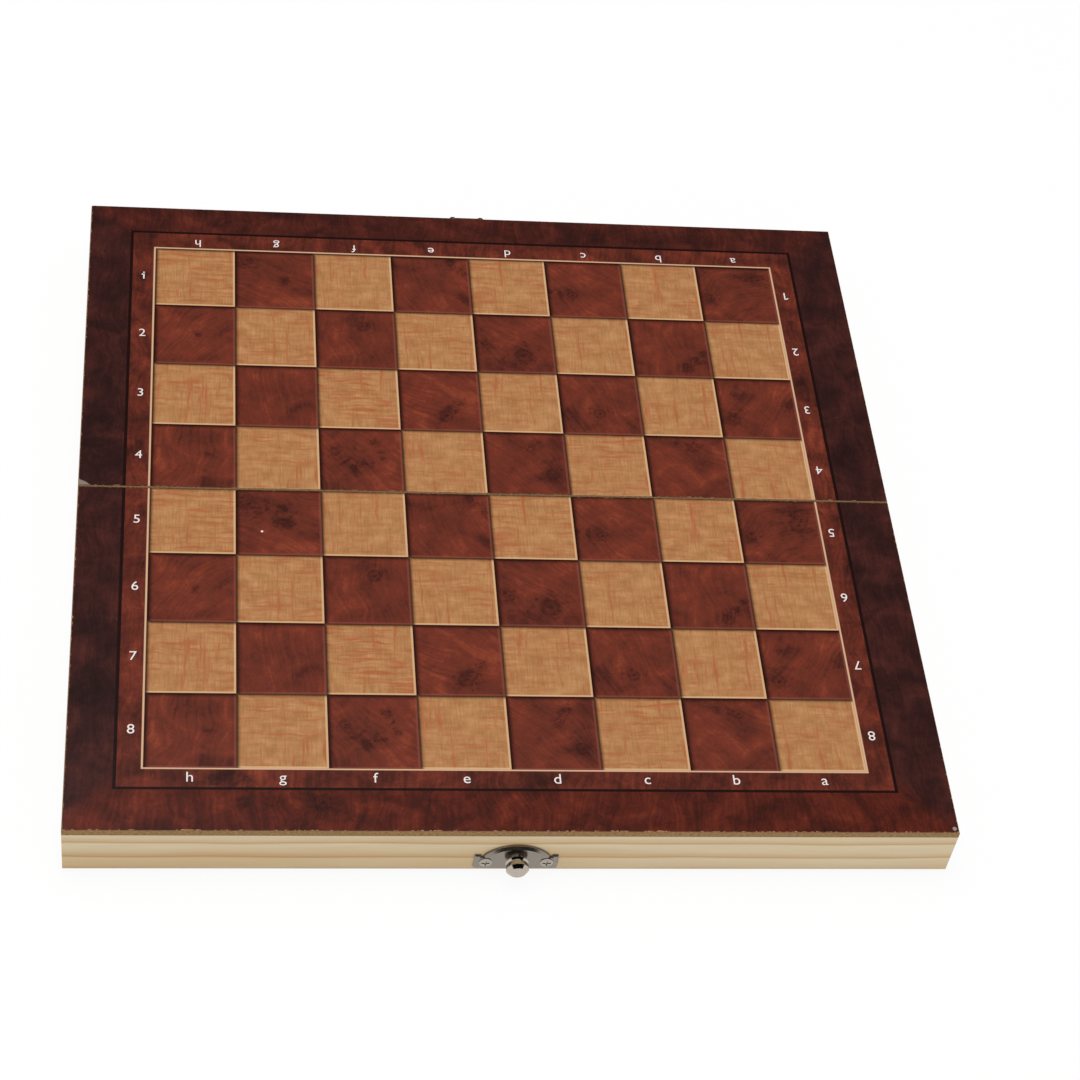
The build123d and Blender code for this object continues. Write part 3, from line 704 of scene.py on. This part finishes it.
rails = {
    "near_front_rail": ("x", (-140.0, 93.3)), "near_fold_rail": ("x", (12.0, -75.0)),
    "far_fold_rail": ("x", (-20.0, 80.0)), "far_back_rail": ("x", (150.0, 88.0)),
    "near_left_rail": ("y", (-130.0, 84.0)), "near_right_rail": ("y", (128.0, -70.0)),
    "far_left_rail": ("y", (-155.0, -66.0)), "far_right_rail": ("y", (150.0, 97.0)),
}
for order, (rail, (along, heart)) in enumerate(rails.items()):
    dress(rail, planed_pine("planed_pine_" + rail, along, heart, order + 1))
print("pine on", len(rails), "rails")

# %% [markdown]
# ## Fibreboard for the two panels
# Medium density fibreboard is wood fibre pressed with resin. Its faces are smooth, but a sawn edge is
# fuzzy, brown and full of tiny dark flecks. One finish covers both, because the board is the same all
# the way through. Its upper edge is darker, where lacquer has soaked in.

# %% Fibreboard finish
def raw_fibreboard(low, high):
    """Sawn fibreboard: mid brown, matt, with flecks a few tenths of a millimetre long."""
    finish, tree, surface = new_finish("raw_fibreboard")
    metres = add(tree, "ShaderNodeTexCoord", out="Object")
    point = add(tree, "ShaderNodeVectorMath", {0: metres, "Scale": 1 / MM}, operation="SCALE")
    height = add(tree, "ShaderNodeSeparateXYZ", {0: point}, out=2)
    fleck = wood_noise(tree, point, (0.8, 0.8, 2.4), 4.0, 0.75)
    colour = add(tree, "ShaderNodeValToRGB", {"Fac": fleck}, stops=[
        (0.34, "#5a432a"), (0.45, "#866842"), (0.6, "#9a7a52"), (0.72, "#ad8d65")])
    # Painted shadow: the lowest 0.3 mm of the board is darkened where it meets the rail, standing in for
    # the shade in that joint.
    painted_joint_shadow = add(tree, "ShaderNodeMapRange", {
        "Value": height, "From Min": low + 0.3, "From Max": low + 0.1})
    colour = painted(tree, colour, painted_joint_shadow, "#4f3821", 0.6)
    varnished = add(tree, "ShaderNodeMapRange", {
        "Value": height, "From Min": high - 0.35, "From Max": high - 0.15})
    colour = painted(tree, colour, varnished, "#7d6048", 0.6)
    tree.links.new(colour, surface.inputs["Base Color"])
    bump = add(tree, "ShaderNodeBump", {"Height": fleck, "Strength": 0.6, "Distance": 0.2 * MM})
    tree.links.new(bump, surface.inputs["Normal"])
    surface.inputs["Roughness"].default_value = 0.85
    surface.inputs["Specular IOR Level"].default_value = 0.2
    return finish


panel_low, panel_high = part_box("near_panel")
board_finish = raw_fibreboard(panel_low.z / MM, panel_high.z / MM)
for panel in ("near_panel", "far_panel"):
    dress(panel, board_finish)
print("fibreboard on both panels")

# %% [markdown]
# ## Nickel plate and bright steel
# The catch is stamped from thin steel and nickel plated, which looks a little warmer and darker than
# chrome. A metal has hardly any colour of its own and shows its surroundings, here a white floor, so
# its base colour sets how bright it looks. Handling leaves faint cloudy patches, so the roughness
# changes over a few millimetres.

# %% Metal finishes
def metal(name, colour, low, high, patch_mm):
    """A plated or drawn metal whose roughness drifts between low and high over patch_mm."""
    finish, tree, surface = new_finish(name)
    metres = add(tree, "ShaderNodeTexCoord", out="Object")
    patches = add(tree, "ShaderNodeTexNoise", {
        "Vector": metres, "Scale": 1 / (patch_mm * MM), "Detail": 4.0, "Roughness": 0.6})
    dullness = add(tree, "ShaderNodeMapRange", {"Value": patches, "To Min": low, "To Max": high})
    tree.links.new(dullness, surface.inputs["Roughness"])
    shade = add(tree, "ShaderNodeMapRange", {"Value": patches, "To Min": 0.85, "To Max": 1.08})
    shaded = add(tree, "ShaderNodeVectorMath", {0: hex_colour(colour)[:3], "Scale": shade},
                 operation="SCALE")
    tree.links.new(shaded, surface.inputs["Base Color"])
    surface.inputs["Metallic"].default_value = 1.0
    return finish


# Stamped and plated sheet is a soft mirror. Turned and plated metal is a clear one, and a pressed
# screw head lies between them. The loop sits in shade at the back, so its nickel is darker, a painted
# shade, and rougher. Drawn wire is satin steel.
nickel = metal("nickel_plate_stamped", "#8f877d", 0.18, 0.28, 3.0)
turned_nickel = metal("nickel_plate_turned", "#b9afa2", 0.06, 0.14, 2.0)
screw_steel = metal("nickel_plated_screw", "#aaa196", 0.14, 0.24, 1.0)
wire_steel = metal("bright_steel_wire", "#c6bdb2", 0.35, 0.5, 1.0)
# The loop's darker base colour is a painted shade for its place in the shade at the back of the case.
loop_nickel_painted_shade = metal("nickel_plate_painted_shade", "#75665f", 0.3, 0.45, 2.0)
metal_parts = {
    nickel: ["catch_plate", "clasp_plate", "left_hinge_near_leaf", "left_hinge_far_leaf",
             "right_hinge_near_leaf", "right_hinge_far_leaf"],
    loop_nickel_painted_shade: ["clasp_loop"],
    turned_nickel: ["catch_knob"],
    screw_steel: ["catch_screws", "clasp_screws", "near_hinge_screws", "far_hinge_screws"],
    wire_steel: ["corner_nail", "clasp_pin", "left_hinge_pin", "right_hinge_pin"],
}
for finish, nodes in metal_parts.items():
    for node in nodes:
        dress(node, finish)
print("metal on", sum(len(nodes) for nodes in metal_parts.values()), "parts")

# %% [markdown]
# ## Coordinates round the board
# White letters and numbers with a dark shadow stand in the strip round the squares. The same rule makes
# all of them: a line of text, filled, given a little thickness and put in its place. So one tree does
# it, and a loop feeds it the 32 characters. They are printed, so each is less than a hundredth of a
# millimetre thick.

# %% Geometry Nodes: one printed character
def character_tree():
    """Text of a given Size, centred on Place and turned by Turn, as a thin closed plate."""
    tree = bpy.data.node_groups.new("printed_character", "GeometryNodeTree")
    socket_in(tree, "Text", "NodeSocketString")
    socket_in(tree, "Size", "NodeSocketFloat")
    socket_in(tree, "Thickness", "NodeSocketFloat")
    socket_in(tree, "Place", "NodeSocketVector")
    socket_in(tree, "Turn", "NodeSocketFloat")
    socket_in(tree, "Finish", "NodeSocketMaterial")
    tree.interface.new_socket(name="Geometry", in_out="OUTPUT", socket_type="NodeSocketGeometry")
    given = tree.nodes.new("NodeGroupInput").outputs
    text = add(tree, "GeometryNodeStringToCurves", {"String": given["Text"], "Size": given["Size"]},
               align_x="CENTER", align_y="MIDDLE")
    outline = add(tree, "GeometryNodeRealizeInstances", {"Geometry": text})
    face = add(tree, "GeometryNodeFillCurve", {"Curve": outline}, mode="NGONS")
    drop = add(tree, "ShaderNodeCombineXYZ", {2: given["Thickness"]})
    raised = add(tree, "GeometryNodeExtrudeMesh", {
        "Mesh": face, "Offset": drop, "Offset Scale": 1.0, "Individual": False})
    back = add(tree, "GeometryNodeFlipFaces", {"Mesh": face})
    closed = add(tree, "GeometryNodeJoinGeometry", out=None)
    tree.links.new(raised, closed.inputs[0])
    tree.links.new(back, closed.inputs[0])
    solid = add(tree, "GeometryNodeMergeByDistance", {
        "Geometry": closed.outputs[0], "Distance": 0.001 * MM})
    angle = add(tree, "ShaderNodeCombineXYZ", {2: given["Turn"]})
    placed = add(tree, "GeometryNodeTransform", {
        "Geometry": solid, "Translation": given["Place"], "Rotation": angle})
    placed = add(tree, "GeometryNodeRealizeInstances", {"Geometry": placed})
    placed = add(tree, "GeometryNodeSetMaterial", {"Geometry": placed, "Material": given["Finish"]})
    output = tree.nodes.new("NodeGroupOutput")
    tree.links.new(placed, output.inputs[0])
    return tree


character_rule = character_tree()
print("the character's tree has", len(character_rule.nodes), "nodes")


# %% Ink finishes
def ink(name, colour):
    """Printing ink under the same lacquer: opaque and satin, with a slightly uneven film."""
    finish, tree, surface = new_finish(name)
    metres = add(tree, "ShaderNodeTexCoord", out="Object")
    film = add(tree, "ShaderNodeTexNoise", {"Vector": metres, "Scale": 1 / (0.6 * MM), "Detail": 3.0})
    shade = add(tree, "ShaderNodeMapRange", {"Value": film, "To Min": 0.8, "To Max": 1.1})
    shaded = add(tree, "ShaderNodeVectorMath", {0: hex_colour(colour)[:3], "Scale": shade},
                 operation="SCALE")
    tree.links.new(shaded, surface.inputs["Base Color"])
    surface.inputs["Roughness"].default_value = 0.42
    surface.inputs["Specular IOR Level"].default_value = 0.35
    return finish


white_ink = ink("white_print_ink", "#e9dcd8")
shadow_ink = ink("dark_print_ink", "#2a1210")
print("two inks:", white_ink.name, "and", shadow_ink.name)

# %% Make the coordinates
letter_size = 5.6
digit_size = 5.4
letters_y_front = -145.0 + 20.6
letters_y_back = 145.0 - 19.4
back_letter_shift = 1.0
digits_x_left = -145.0 + 20.6
digits_x_right = -145.0 + 266.6
flag_across = 0.5
flag_up = 1.35
flag_turn = math.radians(35)
ink_thickness = 0.008
shadow_shift = 0.28
shadow_drop = 0.01 * MM


def characters_of(half):
    """Every (text, x, y, size, turn) on one half of the board; the far side's are turned half round.

    The typeface's 1 is a bare stroke, so a short dash is added as its flag."""
    found = []
    for index in range(8):
        row_is_far = index < 4
        if row_is_far == (half == "far"):
            depth = far_square_depth if row_is_far else near_square_depth
            top = squares_back if row_is_far else 0.0
            y = top - (index % 4 + 0.5) * depth
            found.append((str(index + 1), digits_x_left, y, digit_size, 0.0))
            found.append((str(index + 1), digits_x_right, y, digit_size, math.pi))
            if index == 0:
                found.append(("-", digits_x_left - flag_across, y + flag_up, digit_size, flag_turn))
                found.append(("-", digits_x_right + flag_across, y - flag_up, digit_size, flag_turn))
        x = squares_left + (index + 0.5) * square_width
        if half == "far":
            found.append(("hgfedcba"[index], x + back_letter_shift, letters_y_back, letter_size, math.pi))
        else:
            found.append(("hgfedcba"[index], x, letters_y_front, letter_size, 0.0))
    return found


def joined(name, pieces, finish):
    """Several grown pieces of one finish as one mesh object."""
    made = bmesh.new()
    for piece in pieces:
        made.from_mesh(piece.data)
        bpy.data.objects.remove(piece)
    mesh = bpy.data.meshes.new(name)
    made.to_mesh(mesh)
    made.free()
    mesh.materials.append(finish)
    return linked(name, mesh)


def coordinates(name, half, ink_finish, shift, top):
    """All the characters of one half in one ink, shifted to the right and the front for a shadow."""
    pieces = []
    for text, x, y, size, turn in characters_of(half):
        place = Vector(((x + shift) * MM, (y - shift) * MM, top - ink_thickness * MM))
        pieces.append(grown("character", character_rule, {
            "Text": text, "Size": size * MM, "Thickness": ink_thickness * MM, "Place": place,
            "Turn": turn, "Finish": ink_finish}))
    whole = joined(name, pieces, ink_finish)
    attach(whole, half + "_half")
    print(whole.name, "has", len(whole.data.polygons), "faces")


for half in ("near", "far"):
    coordinates(half + "_coordinate_shadows", half, shadow_ink, shadow_shift, print_top - shadow_drop)
    coordinates(half + "_coordinates", half, white_ink, 0.0, print_top)

# %% [markdown]
# ## A plain studio: floor and sky
# The photograph shows the case on pure white, with soft light from above that leaves almost no shadow.
# The floor and the sky light the case evenly, and show as white to the camera and in mirrored rays.
# Light Path tells which kind of ray has come, so the white background adds no light to the case.

# %% Floor and sky
def background_rays(tree):
    """1 for rays from the camera, through glass or off metal, which see plain white, or else 0."""
    rays = add(tree, "ShaderNodeLightPath", out=None).outputs
    seen = add(tree, "ShaderNodeMath", {0: rays["Is Camera Ray"], 1: rays["Is Transmission Ray"]},
               operation="MAXIMUM")
    return add(tree, "ShaderNodeMath", {0: seen, 1: rays["Is Glossy Ray"]}, operation="MAXIMUM")


def studio_floor():
    """A wide pale floor: almost white to the camera and in mirrored rays, with a soft shadow."""
    mesh = bpy.data.meshes.new("floor")
    reach = 3.0
    corners = [(-reach, -reach, 0.0), (reach, -reach, 0.0), (reach, reach, 0.0), (-reach, reach, 0.0)]
    mesh.from_pydata(corners, [], [(0, 1, 2, 3)])
    finish = bpy.data.materials.new("pale_matt_floor")
    finish.use_nodes = True
    tree = finish.node_tree
    tree.nodes.clear()
    matt = add(tree, "ShaderNodeBsdfDiffuse", {"Color": hex_colour("#f2f2f2")})
    glow = add(tree, "ShaderNodeEmission", {"Color": hex_colour("#ffffff"), "Strength": 1.0})
    share = add(tree, "ShaderNodeMath", {0: background_rays(tree), 1: 0.92}, operation="MULTIPLY")
    mixed = add(tree, "ShaderNodeMixShader", {0: share, 1: matt, 2: glow})
    output = tree.nodes.new("ShaderNodeOutputMaterial")
    tree.links.new(mixed, output.inputs[0])
    mesh.materials.append(finish)
    linked("floor", mesh)


def studio_sky():
    """An even grey sky for light, which the camera, metal and glass see as white."""
    world = bpy.data.worlds.new("studio_sky")
    bpy.context.scene.world = world
    world.use_nodes = True
    tree = world.node_tree
    tree.nodes.clear()
    even = add(tree, "ShaderNodeBackground", {"Color": hex_colour("#ffffff"), "Strength": 0.60})
    white = add(tree, "ShaderNodeBackground", {"Color": hex_colour("#ffffff"), "Strength": 1.0})
    mixed = add(tree, "ShaderNodeMixShader", {0: background_rays(tree), 1: even, 2: white})
    output = tree.nodes.new("ShaderNodeOutputWorld")
    tree.links.new(mixed, output.inputs[0])


studio_floor()
studio_sky()
print("floor and sky ready")

# %% [markdown]
# ## Lamps and dark cloths
# Two soft boxes give the light its direction, at a level where a colour renders about as it is written.
# Shiny metal needs something dark to mirror, or it looks flat and milky. So two curved black cloths
# stand far off, one behind the camera and one behind the case, and only reflections see them.

# %% Lamps and cloths
def dark_cloth(name, start, end, low, high):
    """A black cloth curved round the case, from one angle to another and from low to high."""
    made = bmesh.new()
    steps = 24
    radius = 1.7
    columns = []
    for index in range(steps + 1):
        turn = math.radians(start + (end - start) * index / steps)
        place = (radius * math.cos(turn), radius * math.sin(turn))
        columns.append([made.verts.new((*place, z)) for z in (low, high)])
    for left, right in zip(columns, columns[1:]):
        made.faces.new((left[0], right[0], right[1], left[1]))
    mesh = bpy.data.meshes.new(name)
    made.to_mesh(mesh)
    made.free()
    finish, tree, surface = new_finish("black_studio_cloth_" + name)
    surface.inputs["Base Color"].default_value = hex_colour("#141414")
    surface.inputs["Roughness"].default_value = 1.0
    surface.inputs["Specular IOR Level"].default_value = 0.0
    mesh.materials.append(finish)
    cloth = linked(name, mesh)
    cloth.visible_camera = False
    cloth.visible_diffuse = False
    cloth.visible_shadow = False


def soft_lamp(name, place, size, power, mirrored):
    """A square soft box that points at the board; mirrored tells whether reflections show it."""
    data = bpy.data.lights.new(name, "AREA")
    data.size = size
    data.energy = power
    lamp = linked(name, data)
    facing = (-Vector(place)).to_track_quat("-Z", "Y").to_matrix().to_4x4()
    lamp.matrix_world = Matrix.Translation(Vector(place)) @ facing
    lamp.visible_glossy = mirrored


dark_cloth("front_cloth", 230.0, 325.0, 0.35, 1.55)
dark_cloth("back_cloth", 25.0, 155.0, 0.5, 7.0)
soft_lamp("key_soft_box", (-0.15, 0.1, 1.4), 0.8, 11.0, True)
soft_lamp("fill_soft_box", (0.3, -1.4, 0.4), 0.8, 4.0, False)
bpy.context.scene.view_settings.view_transform = "Standard"
print("lamps and cloths ready")
